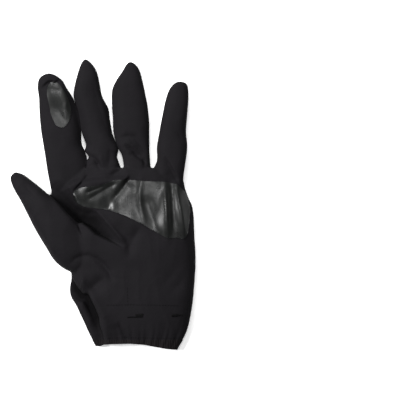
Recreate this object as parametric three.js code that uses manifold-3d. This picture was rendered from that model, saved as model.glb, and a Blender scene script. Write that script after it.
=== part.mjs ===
// Waterproof overglove for the left hand, lying flat with its palm up.
//
// A thin shell of coated cloth, worn over another glove: five tubes are sewn to a palm panel and a back
// panel, an elastic hem gathers the cuff, and two glossy films are bonded on, one across the palm below the
// fingers and one on the fingertip. Millimetres, +Z up, fingers towards +Y, thumb towards -X. The origin is
// on the surface that the glove lies on, under the middle of its outline.

import * as THREE from "three";
import { mergeVertices } from "three/addons/utils/BufferGeometryUtils.js";
import Module from "manifold-3d";

const wasm = await Module();
wasm.setup();

// Driving dimensions.
const WALL = 1.2; // coated cloth with its seam tape
const HEM_WALL = 2.0; // the same cloth folded over an elastic
const HEM_STANDS_PROUD = 0.5;
const FILM = 1.0; // bonded film
const SEAM_GAP = 0.3; // clearance between neighbouring pieces
const RIM = 5.0; // height of the side seams above the surface
const ROLL = 6.0; // how far in from a side seam the cloth reaches the surface
const WIDEST_ROLL = 0.9; // part of half a narrow section that the roll may take up
const ROLL_STEPS = [0.15, 0.5, 1]; // where the roll is sampled, as parts of it
const LEAST_LIFT = 2.6; // the palm side stays this far above the side seams, however deep a fold is
const NARROWEST = 0.6; // two walls fill no more than this part of a narrow section
const TIP_STEPS = [0.5, 0.85]; // closer sections between the last row and the tip
const CAVITY_REACH = 6.0; // the hollow runs this far out of the cuff, so the mouth is open
const GATHERS = 6; // puckers across the upper side of the cuff
const GATHER_RISE = 1.1;
const GATHER_REACH = 26; // the puckers die out this far up the cuff
const MOUTH_BOW = 3.6; // the middle of the cuff's edge lies this much further up than its ends
const MOUTH_BOW_Y = [128, 138]; // the bow grows between these distances below the origin
const BELOW = -5; // upright cuts run from below the glove to above it
const ABOVE = 60;
const FIELD = [[-150, -200], [150, -200], [150, 200], [-150, 200]]; // a rectangle round the whole glove

// Sections across each tube, from the wrist end to the tip. Columns: left end x and y, right end x and y,
// and how high the crown stands. A last row of two numbers is the tip.
const HEM = [
  [-5.7, -136.4, 70.3, -138.0, 13],
  [-9.0, -132.2, 73.4, -132.6, 13.6],
  [-10.9, -129.0, 75.5, -129.0, 14.2],
];
const HAND = [
  [-10.9, -128.7, 75.5, -128.7, 14.5],
  [-15.7, -119.5, 79.8, -119.5, 17],
  [-20.4, -109.0, 82.5, -109.0, 19],
  [-25.6, -97.6, 84.4, -97.6, 20],
  [-31.3, -88.1, 85.8, -87.2, 20.5],
  [-32.5, -79.6, 86.5, -77.7, 20.5],
  [-30.9, -70.1, 87.2, -68.2, 20.5],
  [-31.8, -58.7, 87.8, -56.8, 20.5],
  [-37.5, -43.5, 87.6, -43.5, 20.5],
  [-43.2, -29.2, 86.6, -28.3, 20],
  [-47.0, -15.0, 86.2, -15.0, 19.5],
  [-48.9, -3.6, 84.8, -2.6, 19],
  [-49.9, 5.9, 80.8, 6.9, 18],
  [-49.9, 13.5, 78.1, 14.5, 17],
  [-50.3, 22.1, 76.3, 22.1, 15.5],
  [-43.2, 28.7, 72.7, 28.7, 12.5],
  [-29.9, 34.4, 61.3, 34.4, 8],
];
const THUMB = [
  [0.5, -54.9, -3.3, -10.2, 12],
  [-18.5, -66.3, -24.2, -2.7, 19],
  [-33.7, -63.4, -39.4, 5.0, 22],
  [-46.1, -54.4, -49.6, 8.3, 22],
  [-54.1, -42.0, -56.5, 13.1, 20.5],
  [-63.6, -26.4, -63.6, 19.0, 18],
  [-71.2, -11.6, -69.8, 23.7, 16],
  [-77.9, 1.7, -75.5, 27.8, 14.5],
  [-83.9, 12.1, -81.2, 30.4, 13],
  [-87.4, 19.7, -85.0, 30.2, 11.5],
  [-88.4, 25.4],
];
const INDEX = [
  [-39.4, -7.4, -10.9, 13.5, 11],
  [-48.4, 6.9, -14.7, 30.6, 13],
  [-52.0, 23.0, -16.2, 41.1, 14],
  [-54.3, 36.3, -17.6, 48.2, 14.5],
  [-56.9, 53.4, -20.4, 57.2, 14.5],
  [-59.8, 70.5, -21.7, 71.5, 14.5],
  [-61.3, 87.6, -24.1, 86.7, 14],
  [-61.6, 100.9, -29.6, 100.9, 13.5],
  [-62.9, 112.3, -35.1, 110.9, 12.5],
  [-60.3, 120.9, -39.9, 118.5, 11],
  [-50.8, 124.4],
];
const MIDDLE = [
  [-12.8, 15.4, 17.6, 15.4, 10],
  [-15.7, 27.8, 17.1, 27.8, 12],
  [-15.6, 39.2, 16.6, 34.9, 13.5],
  [-14.7, 45.8, 13.3, 43.9, 14],
  [-17.4, 56.3, 13.0, 52.5, 14.5],
  [-20.2, 68.6, 7.9, 67.7, 14.5],
  [-22.5, 83.8, 6.2, 81.9, 14.5],
  [-24.6, 93.3, 4.8, 91.4, 14.5],
  [-28.4, 102.8, -1.1, 102.8, 14],
  [-27.5, 114.2, -3.3, 114.2, 13.5],
  [-24.6, 124.7, -6.0, 125.2, 12.5],
  [-21.2, 134.0, -10.9, 133.2, 11],
  [-17.1, 137.8],
];
const RING = [
  [18.5, 15.4, 46.1, 15.4, 10],
  [18.1, 26.8, 45.6, 26.8, 12],
  [19.0, 35.4, 45.1, 34.0, 13.5],
  [17.1, 46.8, 44.2, 44.9, 14],
  [14.3, 53.9, 43.8, 54.4, 14.5],
  [10.2, 66.7, 43.9, 66.7, 14.5],
  [8.4, 81.9, 43.5, 81.9, 15],
  [7.4, 95.2, 41.8, 95.2, 14.5],
  [7.7, 108.5, 39.4, 107.6, 14],
  [11.9, 118.0, 37.1, 118.0, 13.5],
  [17.9, 126.6, 34.5, 127.1, 12],
  [21.9, 133.2, 30.9, 132.3, 11],
  [25.9, 135.3],
];
const LITTLE = [
  [48.0, 7.8, 74.6, 0.2, 10],
  [47.0, 24.9, 76.5, 12.6, 12.5],
  [47.5, 33.5, 76.3, 25.9, 13.5],
  [50.6, 42.0, 78.4, 42.0, 13.5],
  [50.4, 54.4, 79.9, 55.3, 14],
  [52.7, 68.6, 78.7, 68.6, 14],
  [55.6, 83.8, 79.7, 83.8, 14],
  [58.6, 98.1, 80.8, 98.1, 13.5],
  [61.8, 108.1, 80.7, 108.1, 12.5],
  [66.6, 114.4, 78.9, 114.6, 11],
  [72.2, 116.7],
];

// The main folds of the palm side. Columns: x and y where the fold starts, x and y where it ends, how far its
// line rises (a valley is below 0), and how wide it is on its left and right, seen from its start to its end.
const FOLDS = [
  [-46, 4, -6, -24, -9, 11, 5], // between thumb and forefinger, under the film
  [-8, -22, 24, -50, -3.5, 6, 9], // the same fold, dying out in the hollow of the palm
  [38, -20, 25, -52, -2.5, 5, 6],
  [-32, -10, -19, -30, -2, 4, 4], // upper seam of the thumb
  [-14, -48, 9, -71, -2, 5, 4], // above the heel of the hand
  [-27, -76, -2, -124, -10, 4, 9], // pocket beside the cuff, where the palm side laps over the back
  [-31, -58, -19, -80, 2, 5, 8],
  [-15, 29, -42, 6, -3.5, 5, 4], // root of the forefinger
  [57, 24, 54, -26, 3, 5, 6], // ridges and creases that fan out across the film
  [64, 20, 66, -28, -2.5, 4, 4],
  [69, 18, 77, -29, 2.5, 4, 4],
  [36, 8, 43, -22, -3, 8, 7],
  [12, 21, -12, 5, -2.2, 6, 4],
  [18, 16, 8, -8, 1.8, 9, 9],
];

// Seams at the roots of the thumb and forefinger, and lines that part the tubes from the crotch outwards, in
// plan. Columns: x and y.
const THUMB_ROOT = [
  [-33, -59], [-26.6, -51.8], [-20.5, -48.5], [-17.5, -40], [-19, -31], [-23, -22], [-30, -12], [-40, -2],
  [-49.4, 8.2],
];
const INDEX_ROOT = [[-49.4, 8.2], [-39, 9], [-28.3, 15.5], [-16.5, 26.5], [-17.2, 34.6]];
const THUMB_OUTSIDE = [[-33, -59], [-50, -84], [-100, -84]];
const THUMB_FROM_INDEX = [[-49.4, 8.2], [-53.4, 14.6], [-62, 26], [-100, 70]];
const INDEX_FROM_MIDDLE = [
  [-17.2, 34.6], [-15.7, 44], [-19.4, 56], [-21.0, 69.5], [-23.2, 84.2], [-24.4, 90], [-29, 101.2],
  [-30, 150],
];
const MIDDLE_FROM_RING = [[17.4, 34.6], [17.6, 41], [13.7, 53.2], [8.6, 68], [6.6, 88], [2, 102], [2, 150]];
const RING_FROM_LITTLE = [[46.4, 34.6], [47.2, 50], [49.4, 72], [52, 100], [52, 150]];
const LITTLE_OUTSIDE = [[84, 12.5], [100, 30], [100, 150]];

// Outlines of the two films, in plan. Columns: x and y.
const PALM_FILM = [
  [-28, 10.7], [-22.3, 15], [-12.8, 16.9], [-3.3, 17.8], [6.2, 21.1], [12.8, 22.8], [25.2, 22.8],
  [39.4, 21.9], [58.4, 21.1], [68.9, 18.8], [72.7, 16.4], [78.4, 8.8], [82, -3.6], [81.6, -13.1],
  [80, -26.4], [76.5, -32.5], [68.9, -31.6], [61.3, -32.1], [53.7, -28.3], [45.1, -23.5], [33.7, -16.9],
  [20.4, -10.7], [6.2, -5.9], [-6.2, -4], [-18.5, -2.1], [-26.1, 3.1],
];
const FINGERTIP_FILM = [
  [-52, 113], [-48, 116.6], [-43, 114.8], [-37.2, 107.6], [-33, 98.5], [-30.9, 90], [-31.6, 81.9],
  [-34.2, 76.2], [-38, 72.9], [-41.8, 73.4], [-45.6, 76.2], [-49.3, 84.8], [-51.8, 96.2], [-53.4, 106],
];

// A fold grows to its full depth and dies out over these parts of its length.
const FOLD_START = [-0.08, 0.25];
const FOLD_END = [0.7, 1.12];

const mix = THREE.MathUtils.lerp;
const smooth = THREE.MathUtils.smoothstep;

// How far the folds raise the cloth at a point of the plan.
function foldRise(x, y) {
  let rise = 0;
  for (const [x0, y0, x1, y1, height, wideLeft, wideRight] of FOLDS) {
    const length = Math.hypot(x1 - x0, y1 - y0);
    const [ax, ay] = [(x1 - x0) / length, (y1 - y0) / length];
    const along = ((x - x0) * ax + (y - y0) * ay) / length;
    const aside = (y - y0) * ax - (x - x0) * ay;
    const wide = aside > 0 ? wideLeft : wideRight;
    const fade = smooth(along, ...FOLD_START) * (1 - smooth(along, ...FOLD_END));
    rise += height * fade * Math.exp(-((aside / wide) ** 2));
  }
  return rise;
}

// Puckers that the elastic draws into the cuff; u runs from -1 at the left seam to 1 at the right.
function gatherRise(u, y) {
  const near = 1 - smooth(y, HEM[2][1], HEM[2][1] + GATHER_REACH);
  return GATHER_RISE * near * Math.cos(Math.PI * GATHERS * u);
}

// Positions across a section, from -1 to 1: half way between even steps and the steps of a half circle, which
// lie close together at the seams, where the cloth turns over.
function spread(segments) {
  return Array.from({ length: segments + 1 }, (_, k) => {
    const even = mix(-1, 1, k / segments);
    return mix(Math.sin((Math.PI / 2) * even), even, 0.5);
  });
}

// Sections of a tube, as ends and crown, at even steps of its rows and closer ones towards a tip. An inset
// moves every end, the crown and the tip inwards.
function sections(rows, stepsPerRow, inset) {
  const tip = rows.at(-1).length === 2 ? rows.at(-1) : null;
  const full = tip ? rows.slice(0, -1) : rows;
  const last = full.length - 1;
  const left = full.map(([x, y, , , crown]) => new THREE.Vector3(x, y, crown));
  const right = full.map(([, , x, y, crown]) => new THREE.Vector3(x, y, crown));
  const end = tip && new THREE.Vector3(tip[0], tip[1], RIM);
  const line = (own, other) =>
    new THREE.CatmullRomCurve3(tip ? [...own, end, other[last]] : own, false, "catmullrom", 0.5);
  const lines = [line(left, right), line(right, left)];
  const segments = lines[0].points.length - 1;

  const steps = Math.round(last * stepsPerRow);
  const stations = Array.from({ length: steps + 1 }, (_, k) => (k * last) / steps);
  if (tip) stations.push(...TIP_STEPS.map((step) => last + step));
  return stations.map((s) => {
    const [a, b] = lines.map((curve) => curve.getPoint(s / segments));
    const towards = new THREE.Vector2(b.x - a.x, b.y - a.y);
    const half = towards.length() / 2;
    towards.normalize();
    const side = Math.min(inset, half * NARROWEST);
    const past = Math.max(0, s - last);
    const bodyCrown = past > 0 ? left[last].z : (a.z + b.z) / 2;
    const crown = mix(RIM, bodyCrown, Math.sqrt(1 - past * past)) - inset;
    const back = past > 0 ? inset : 0; // the hollow stops short of the tip
    return {
      left: new THREE.Vector2(a.x, a.y).addScaledVector(towards, side).add(retreat(back, towards)),
      right: new THREE.Vector2(b.x, b.y).addScaledVector(towards, -side).add(retreat(back, towards)),
      crown: Math.max(crown, RIM),
    };
  });
}

// A step back from the tip, square to a section that runs from left to right in the direction given.
function retreat(distance, towards) {
  return new THREE.Vector2(towards.y, -towards.x).multiplyScalar(distance);
}

// One closed ring of points round a section: over the top from left to right, then back underneath.
function ring({ left, right, crown }, { segments, fullness, bow }, inset) {
  const half = left.distanceTo(right) / 2;
  const roll = Math.min(ROLL, half * WIDEST_ROLL);
  const point = (u, height) => {
    const p = left.clone().lerp(right, (u + 1) / 2);
    return [p.x, p.y + bow(p.y) * (1 - u ** 4), height(p)];
  };
  const top = spread(segments).map((u) =>
    point(u, ({ x, y }) => {
      const lift = Math.max(crown - RIM + foldRise(x, y) + gatherRise(u, y), LEAST_LIFT - inset);
      return RIM + lift * Math.sqrt(1 - Math.abs(u) ** fullness);
    }),
  );
  const rolled = (side) => (step) => {
    const height = RIM - (RIM - Math.max(inset, 0)) * Math.sqrt(1 - (1 - step) ** 2);
    return point(side * (1 - (roll * step) / half), () => height);
  };
  return [...top, ...ROLL_STEPS.map(rolled(1)), ...[...ROLL_STEPS].reverse().map(rolled(-1))];
}

// A closed body through rings of equally many points, with a flat end or a tip at each end.
function loft(rings, tip) {
  const n = rings[0].length;
  const points = rings.flat();
  const faces = [];
  for (let r = 0; r < rings.length - 1; r++)
    for (let k = 0; k < n; k++) {
      const [a, b] = [r * n + k, r * n + ((k + 1) % n)];
      faces.push([a, b, a + n], [b, b + n, a + n]);
    }
  const cap = (r, point, flip) => {
    const centre = points.push(point) - 1;
    for (let k = 0; k < n; k++) {
      const [a, b] = [r * n + k, r * n + ((k + 1) % n)];
      faces.push(flip ? [centre, b, a] : [centre, a, b]);
    }
  };
  cap(0, middle(rings[0]), true);
  cap(rings.length - 1, tip ?? middle(rings.at(-1)), false);
  const geometry = new THREE.BufferGeometry();
  geometry.setAttribute("position", new THREE.Float32BufferAttribute(points.flat(), 3));
  geometry.setIndex(faces.flat());
  return solid(geometry);
}

function middle(points) {
  return [0, 1, 2].map((axis) => points.reduce((sum, p) => sum + p[axis], 0) / points.length);
}

// A three.js geometry as a solid that can be cut and joined, and back.
function solid(geometry) {
  const bare = geometry.clone();
  bare.deleteAttribute("normal");
  bare.deleteAttribute("uv");
  const merged = mergeVertices(bare, 1e-4);
  return new wasm.Manifold(
    new wasm.Mesh({
      numProp: 3,
      vertProperties: new Float32Array(merged.attributes.position.array),
      triVerts: new Uint32Array(merged.index.array),
    }),
  );
}

function geometryOf(body) {
  const { vertProperties, triVerts } = body.getMesh();
  const geometry = new THREE.BufferGeometry();
  geometry.setAttribute("position", new THREE.BufferAttribute(vertProperties, 3));
  geometry.setIndex(new THREE.BufferAttribute(triVerts, 1));
  geometry.computeVertexNormals();
  return geometry;
}

// A body of cloth along a table of rows: its outside, or the hollow in it where an inset is given. The hollow
// of an open tube runs on past its ends, and that of a closed one stops a wall short of its far end.
const noBow = () => 0;
function tube(rows, { segments = 9, fullness = 2.2, steps = 1, bow = noBow, farEnd = "closed" }, inset = 0) {
  const made = sections(rows, steps, inset);
  const rings = made.map((section) => ring(section, { segments, fullness, bow }, inset));
  const tip = rows.at(-1).length === 2 ? rows.at(-1) : null;
  if (!tip && inset > 0) {
    rings.unshift(carried(rings[0], -CAVITY_REACH));
    if (farEnd === "open") rings.push(carried(rings.at(-1), CAVITY_REACH));
    else rings.push(carried(rings.pop(), -inset));
  }
  if (!tip) return loft(rings, null);
  const past = made.at(-1);
  const towards = past.right.clone().sub(past.left).normalize();
  const end = new THREE.Vector2(...tip).add(retreat(inset, towards));
  return loft(rings, [end.x, end.y, RIM]);
}

function carried(points, distance) {
  return points.map(([x, y, z]) => [x, y + distance, z]);
}

// An upright prism over an outline in plan.
function prism(outline, from = BELOW, to = ABOVE) {
  const shape = new THREE.Shape(outline.map(([x, y]) => new THREE.Vector2(x, y)));
  const geometry = new THREE.ExtrudeGeometry(shape, { depth: to - from, bevelEnabled: false });
  return solid(geometry.translate(0, 0, from));
}

// A closed outline in plan, drawn anticlockwise, moved inwards by a distance, or outwards if it is below 0.
function moved(outline, distance) {
  const corner = (k) => new THREE.Vector2(...outline.at(k % outline.length));
  return outline.map((_, k) => {
    const before = corner(k).sub(corner(k - 1)).normalize();
    const after = corner(k + 1).sub(corner(k)).normalize();
    const scale = distance / (1 + before.dot(after));
    return [outline[k][0] - (before.y + after.y) * scale, outline[k][1] + (before.x + after.x) * scale];
  });
}

// The plan region of a tube: along the seam at its root, out on one parting line and back on the other.
function region(root, leftLine, rightLine) {
  const back = [...leftLine].reverse();
  return [...root, ...rightLine.slice(1), ...back.slice(0, -1)];
}

// A film follows the cloth below it at one clearance, whatever the folds do.
function film(outline, skin) {
  const points = outline.map(([x, y]) => new THREE.Vector3(x, y, 0));
  const curve = new THREE.CatmullRomCurve3(points, true, "centripetal");
  const smoothOutline = curve.getPoints(outline.length * 2).slice(0, -1).map(({ x, y }) => [x, y]);
  return prism(smoothOutline, RIM)
    .intersect(skin.translate([0, 0, SEAM_GAP + FILM]))
    .subtract(skin.translate([0, 0, SEAM_GAP]));
}

const handShape = { segments: 28, fullness: 3.2, steps: 1.25 };
const hemShape = { ...handShape, steps: 1, farEnd: "open", bow: (y) => MOUTH_BOW * smooth(-y, ...MOUTH_BOW_Y) };
const tubes = [
  [HAND, handShape],
  [THUMB, { segments: 12 }],
  ...[INDEX, MIDDLE, RING, LITTLE].map((rows) => [rows, {}]),
];
const skin = wasm.Manifold.union(tubes.map(([rows, shape]) => tube(rows, shape)));
const hollow = wasm.Manifold.union(tubes.map(([rows, shape]) => tube(rows, shape, WALL)));
const shell = skin.subtract(hollow);

const straight = (leftLine, rightLine) => region([leftLine[0], rightLine[0]], leftLine, rightLine);
const regions = {
  index_finger: region(INDEX_ROOT, [...THUMB_FROM_INDEX, [-100, 150]], INDEX_FROM_MIDDLE),
  middle_finger: straight(INDEX_FROM_MIDDLE, MIDDLE_FROM_RING),
  ring_finger: straight(MIDDLE_FROM_RING, RING_FROM_LITTLE),
  little_finger: straight(RING_FROM_LITTLE, LITTLE_OUTSIDE),
  thumb: region(THUMB_ROOT, THUMB_OUTSIDE, THUMB_FROM_INDEX),
};
const cut = (outline, gap) => prism(moved(outline, gap));
const fingers = wasm.Manifold.union(Object.values(regions).map((outline) => cut(outline, -SEAM_GAP / 2)));
const hand = shell.subtract(fingers);

const cloth = new THREE.MeshStandardMaterial({ color: 0x26242a, roughness: 0.78, metalness: 0 });
const elastic = new THREE.MeshStandardMaterial({ color: 0x292527, roughness: 0.85, metalness: 0 });
const gloss = new THREE.MeshStandardMaterial({ color: 0x1c1e1e, roughness: 0.3, metalness: 0 });

const glove = new THREE.Group();
glove.name = "waterproof_overglove";

// A cut can leave a crumb of cloth behind; the piece is its largest body.
function add(name, body, material) {
  const largest = body.decompose().sort((a, b) => b.volume() - a.volume())[0];
  const mesh = new THREE.Mesh(geometryOf(largest), material);
  mesh.name = name;
  glove.add(mesh);
}

add("palm_panel", hand.intersect(prism(FIELD, RIM + SEAM_GAP / 2)), cloth);
add("back_panel", hand.intersect(prism(FIELD, BELOW, RIM - SEAM_GAP / 2)), cloth);
for (const [name, outline] of Object.entries(regions))
  add(name, shell.intersect(cut(outline, SEAM_GAP / 2)), cloth);
add("elastic_hem", tube(HEM, hemShape, -HEM_STANDS_PROUD).subtract(tube(HEM, hemShape, HEM_WALL)), elastic);
add("palm_film", film(PALM_FILM, skin), gloss);
add("fingertip_film", film(FINGERTIP_FILM, skin), gloss);

export default glove;
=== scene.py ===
# %% [markdown]
# # A waterproof overglove in thin black cloth
# The real glove is a loose shell that is pulled over another glove to keep it dry. Coated nylon is cut into a
# palm, a back and five tubes, sewn and taped. An elastic hem gathers the cuff, and two pieces of glossy film
# are bonded on for grip: one across the palm, one on the tip of the forefinger. Here it lies empty on a pale
# floor with its palm up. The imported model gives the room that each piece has. This lesson makes the pieces
# themselves: smooth skins with folds, real wall edges, seams, gathers and stitches.

# %% Load the frame and keep its box
import math

import bmesh
import bpy
import numpy as np
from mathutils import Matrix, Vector, noise


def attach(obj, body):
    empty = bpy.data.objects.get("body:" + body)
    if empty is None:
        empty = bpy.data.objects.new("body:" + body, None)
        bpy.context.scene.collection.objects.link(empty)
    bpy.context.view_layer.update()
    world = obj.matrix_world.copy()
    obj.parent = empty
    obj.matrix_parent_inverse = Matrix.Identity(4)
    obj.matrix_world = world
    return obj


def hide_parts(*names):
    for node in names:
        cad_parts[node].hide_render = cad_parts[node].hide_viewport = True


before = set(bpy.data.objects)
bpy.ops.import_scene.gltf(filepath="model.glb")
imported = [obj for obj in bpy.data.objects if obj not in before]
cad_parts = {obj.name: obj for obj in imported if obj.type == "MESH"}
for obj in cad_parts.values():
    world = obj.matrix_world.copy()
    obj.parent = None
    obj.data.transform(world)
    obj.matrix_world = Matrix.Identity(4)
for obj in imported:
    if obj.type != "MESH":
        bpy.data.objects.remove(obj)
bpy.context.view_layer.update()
MM = 0.001
print("frame nodes:", sorted(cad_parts))

# %% [markdown]
# ## The camera
# The product photograph was taken from straight above with a long lens. The lens here is long enough to hide
# almost all perspective, and the frame is as wide as the photograph's, so the glove stands where it stands
# there, left of the middle.

# %% Camera
PIXEL = 0.95 * MM  # real size of one pixel of the photograph on the glove
PHOTO_SIDE = 410
GLOVE_AT = (103.5, 204.25)  # pixel above the origin
CAMERA_HEIGHT = 2.6
SHARP_AT = 8 * MM  # height at which the scale is true
SENSOR = 36.0

camera_data = bpy.data.cameras.new("overhead")
camera_data.sensor_width = SENSOR
camera_data.lens = SENSOR * (CAMERA_HEIGHT - SHARP_AT) / (PIXEL * PHOTO_SIDE)
camera_data.clip_end = 20
camera = bpy.data.objects.new("overhead", camera_data)
centre = PHOTO_SIDE / 2
camera.location = ((centre - GLOVE_AT[0]) * PIXEL, (GLOVE_AT[1] - centre) * PIXEL, CAMERA_HEIGHT)
bpy.context.scene.collection.objects.link(camera)
bpy.context.scene.camera = camera
print("camera over", tuple(round(v, 4) for v in camera.location), "lens", round(camera_data.lens), "mm")

# %% [markdown]
# ## Helpers
# Every mesh in this lesson starts from points in millimetres, and every finish is a small tree of nodes. Both
# could be written out each time, but four short functions keep the later cells about the glove itself.

# %% Helpers for objects and nodes
def mesh_object(name, points, faces=(), edges=()):
    """An object from points in millimetres."""
    mesh = bpy.data.meshes.new(name)
    mesh.from_pydata((np.asarray(points) * MM).tolist(), edges, faces)
    obj = bpy.data.objects.new(name, mesh)
    bpy.context.scene.collection.objects.link(obj)
    return obj


def fill(tree, node, inputs):
    """Sets or links some inputs of a node."""
    for key, value in inputs.items():
        if isinstance(value, bpy.types.NodeSocket):
            tree.links.new(value, node.inputs[key])
        else:
            node.inputs[key].default_value = value


def add_node(tree, kind, inputs, **settings):
    """Adds a node to a tree and gives back its outputs."""
    node = tree.nodes.new(kind)
    for key, value in settings.items():
        setattr(node, key, value)
    fill(tree, node, inputs)
    return node.outputs


def node_material(name):
    material = bpy.data.materials.new(name)
    material.use_nodes = True
    return material, material.node_tree, material.node_tree.nodes["Principled BSDF"]


print("helpers ready")

# %% [markdown]
# ## Floor and light
# Black cloth shows its folds only where light grazes it, and the film shows the lamps themselves. So the
# lamps are broad and soft, and the strongest one shines from the left. The floor is plain and almost white.
# It glows a little, as a light table does, which keeps the shadows as pale as in the photograph.

# %% Floor
FLOOR_HALF = 4000  # millimetres
FLOOR_LEVEL = -0.05
corners = [(x * FLOOR_HALF, y * FLOOR_HALF, FLOOR_LEVEL) for x, y in ((-1, -1), (1, -1), (1, 1), (-1, 1))]
floor = mesh_object("floor", corners, [(0, 1, 2, 3)])
white_floor, tree, shader = node_material("white_floor")
fill(tree, shader, {
    "Base Color": (0.93, 0.93, 0.93, 1), "Roughness": 0.9, "Specular IOR Level": 0.1,
    "Emission Color": (1, 1, 1, 1), "Emission Strength": 0.45})
floor.data.materials.append(white_floor)
floor.visible_diffuse = False  # it throws no light up under the edges of the cloth
print("floor", 2 * FLOOR_HALF, "mm wide")

# %% Lamps and sky
# Columns: name, where it stands, width, depth and power in watts. Each one points at the glove.
LAMPS = [
    ("key_softbox", (-1.28, 0.2, 1.42), 0.6, 0.45, 56),
    ("far_softbox", (-0.1, 1.5, 0.8), 0.5, 0.5, 17),
    ("top_softbox", (0.08, 0.75, 2.2), 0.4, 0.25, 14),
    ("right_softbox", (0.75, 0.55, 2.1), 0.5, 0.9, 4),
]
for name, place, width, depth, power in LAMPS:
    lamp = bpy.data.lights.new(name, "AREA")
    lamp.shape = "RECTANGLE"
    lamp.size, lamp.size_y, lamp.energy = width, depth, power
    stand = bpy.data.objects.new(name, lamp)
    stand.location = place
    stand.rotation_euler = (-Vector(place)).to_track_quat("-Z", "Y").to_euler()
    stand.visible_camera = False
    bpy.context.scene.collection.objects.link(stand)

sky = bpy.data.worlds.new("sky")
sky.use_nodes = True
fill(sky.node_tree, sky.node_tree.nodes["Background"], {"Color": (1, 1, 1, 1), "Strength": 0.12})
bpy.context.scene.world = sky
bpy.context.scene.view_settings.view_transform = "Standard"
print("lamps:", [row[0] for row in LAMPS])

# %% [markdown]
# ## The shape of the glove as sections
# A glove is six tubes that run into each other. Each tube is a short table of sections, as a pattern cutter
# would measure it: the two ends of a line across the tube, and how high the cloth stands between them. The
# lines follow the flattened outline, so the silhouette is right before any fold is made. A last row of two
# numbers is the tip.

# %% Section tables in millimetres
RIM = 5.0  # height of the side seams
ROLL = 6.0  # how far in from a side seam the cloth reaches the floor

HAND = [
    (0.5, -150, 66, -152, 12.5),
    (-6.5, -137, 70, -138.5, 13),
    (-10.9, -128.7, 75.5, -128.7, 14.5),
    (-15.7, -119.5, 79.8, -119.5, 17),
    (-20.4, -109, 82.5, -109, 19),
    (-25.6, -97.6, 84.4, -97.6, 20),
    (-31.3, -88.1, 85.8, -87.2, 20.5),
    (-32.5, -79.6, 86.5, -77.7, 20.5),
    (-30.9, -70.1, 87.2, -68.2, 20.5),
    (-31.8, -58.7, 87.8, -56.8, 20.5),
    (-37.5, -43.5, 87.6, -43.5, 21.5),
    (-43.2, -29.2, 86.6, -28.3, 21.5),
    (-47, -15, 86.2, -15, 20.5),
    (-48.9, -3.6, 84.8, -2.6, 19),
    (-49.9, 5.9, 80.8, 6.9, 17.6),
    (-49.9, 13.5, 78.1, 14.5, 16.5),
    (-50.3, 22.1, 76.3, 22.1, 15.4),
    (-43.2, 28.7, 72.7, 28.7, 14.2),
    (-29.9, 34.4, 61.3, 34.4, 12.8),
]
THUMB = [
    (0.5, -54.9, -3.3, -10.2, 12),
    (-18.5, -66.3, -20.5, -10, 18),
    (-33.7, -63.4, -35, 5, 21.5),
    (-46.1, -54.4, -49.6, 8.3, 22),
    (-54.1, -42, -56.5, 13.1, 20.5),
    (-63.6, -26.4, -63.6, 19, 18),
    (-71.2, -11.6, -69.8, 23.7, 16),
    (-77.9, 1.7, -75.5, 27.8, 14.5),
    (-83.9, 12.1, -81.2, 30.4, 13),
    (-87.4, 19.7, -85, 30.2, 11.5),
    (-88.4, 25.4),
]
INDEX = [
    (-39.4, -7.4, -10.9, 13.5, 11),
    (-48.4, 6.9, -14.7, 30.6, 13),
    (-52, 23, -15.2, 40.5, 14),
    (-54.3, 36.3, -16.6, 49.4, 14.5),
    (-56.9, 53.4, -20.4, 57.2, 14.5),
    (-59.8, 70.5, -20.8, 71.5, 14.5),
    (-61.3, 87.6, -23.1, 86.7, 14),
    (-61.6, 100.9, -28.6, 100.9, 14),
    (-62.9, 112.3, -35.1, 110.9, 13.8),
    (-60.3, 120.9, -39.9, 118.5, 12),
    (-50.8, 124.4),
]
MIDDLE = [
    (-12.8, 15.4, 17.6, 15.4, 10),
    (-15.7, 27.8, 17.1, 27.8, 12),
    (-17.6, 39.2, 16.6, 34.9, 13.5),
    (-14.4, 45, 13.3, 43.9, 14),
    (-18.3, 50.5, 13.6, 48.5, 14.2),
    (-17.2, 56.8, 14.2, 53, 14.5),
    (-21.3, 68.6, 8.8, 67.7, 14.5),
    (-23.9, 83.8, 6.2, 81.9, 14.5),
    (-26.3, 93.3, 4.8, 91.4, 14.5),
    (-29.1, 102.8, -1.1, 102.8, 14),
    (-27.5, 114.2, -3.3, 114.2, 13.5),
    (-24.6, 124.7, -6, 125.2, 12.5),
    (-21.2, 134, -10.9, 133.2, 11),
    (-17.1, 137.8),
]
RING = [
    (18.5, 15.4, 46.1, 15.4, 10),
    (18.1, 26.8, 45.6, 26.8, 12),
    (19, 35.4, 45.1, 34, 13.5),
    (17.1, 46.8, 44.2, 44.9, 14),
    (13.1, 53.9, 43.8, 54.4, 14.5),
    (9.2, 66.7, 43.9, 66.7, 14.5),
    (8.4, 81.9, 43.5, 81.9, 15),
    (7.4, 95.2, 41.8, 95.2, 14.5),
    (7.7, 108.5, 39.4, 107.6, 14),
    (11.9, 118, 37.1, 118, 13.5),
    (17.9, 126.6, 34.5, 127.1, 12),
    (21.9, 133.2, 30.9, 132.3, 11),
    (25.9, 135.3),
]
LITTLE = [
    (48, 7.8, 74.6, 0.2, 10),
    (47, 24.9, 76.5, 12.6, 12.5),
    (47.5, 33.5, 76.3, 25.9, 13.5),
    (50.6, 42, 78.4, 42, 13.5),
    (50.4, 54.4, 79.9, 55.3, 14),
    (52.7, 68.6, 78.7, 68.6, 14),
    (55.6, 83.8, 79.7, 83.8, 14),
    (58.6, 98.1, 80.8, 98.1, 13.5),
    (61.8, 108.1, 80.7, 108.1, 12.5),
    (66.6, 114.4, 78.9, 114.6, 11),
    (72.2, 116.7),
]
print("sections:", sum(len(t) for t in (HAND, THUMB, INDEX, MIDDLE, RING, LITTLE)))

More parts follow.
